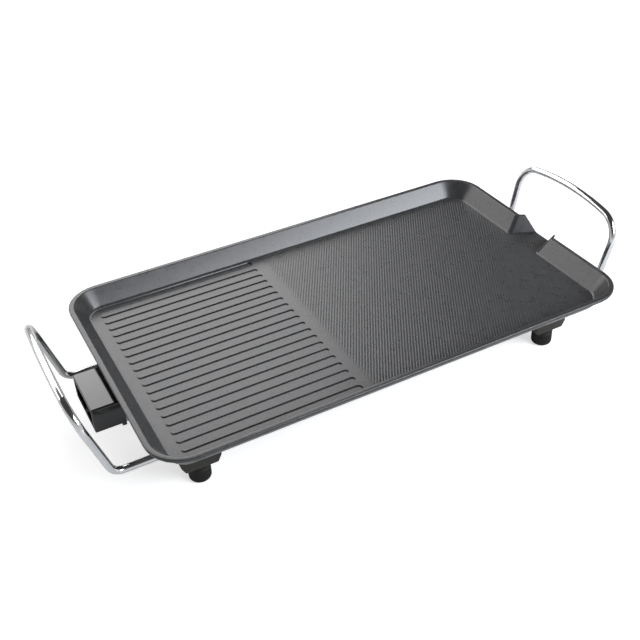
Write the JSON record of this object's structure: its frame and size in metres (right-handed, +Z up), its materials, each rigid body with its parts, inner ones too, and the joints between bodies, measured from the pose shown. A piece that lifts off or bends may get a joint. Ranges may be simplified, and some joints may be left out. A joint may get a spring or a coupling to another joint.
{
  "type": "electric griddle",
  "caption": "Rectangular electric griddle with a ribbed half, a flat half, a pouring spout, wire handles at both ends and a plug-in socket, standing on moulded legs.",
  "frame": {"origin": "on the table, under the middle of the cooking plate", "axes": "+X towards the pouring spout, -X towards the power socket, -Y towards the cook, +Z up"},
  "size_m": [0.5632, 0.274, 0.118],
  "materials": {
    "nonstick_casting": "die-cast aluminium under a dark grey satin non-stick coating",
    "element_sheath": "heat-darkened stainless sheath",
    "plated_steel": "bright zinc plate",
    "chromed_wire": "mirror chrome on round steel wire",
    "leg_moulding": "black phenolic, moulded, satin",
    "foot_moulding": "black phenolic with a fine diamond grip, matt",
    "socket_moulding": "black phenolic, moulded, glossy",
    "spring_brass": "rolled strip, dull",
    "nickelled_pin": "nickel-plated brass, bright",
    "steatite": "unglazed steatite"
  },
  "bodies": {
    "root": {"bracket_screws": "plated_steel", "cooking_plate": "nonstick_casting", "earth_contact": "spring_brass", "earth_screw": "plated_steel", "element_straps": "plated_steel", "foot_far_left": "foot_moulding", "foot_far_right": "foot_moulding", "foot_near_left": "foot_moulding", "foot_near_right": "foot_moulding", "handle_grub_screws": "plated_steel", "heating_element": "element_sheath", "left_handle": "chromed_wire", "leg_far_left": "leg_moulding", "leg_far_right": "leg_moulding", "leg_near_left": "leg_moulding", "leg_near_right": "leg_moulding", "leg_screws": "plated_steel", "probe_tube": "plated_steel", "right_handle": "chromed_wire", "socket_bracket": "plated_steel", "socket_screws": "plated_steel", "socket_shroud": "socket_moulding", "strap_screws": "plated_steel", "terminal_bush_far": "steatite", "terminal_bush_near": "steatite", "terminal_pin_far": "nickelled_pin", "terminal_pin_near": "nickelled_pin"}
  },
  "joints": []
}
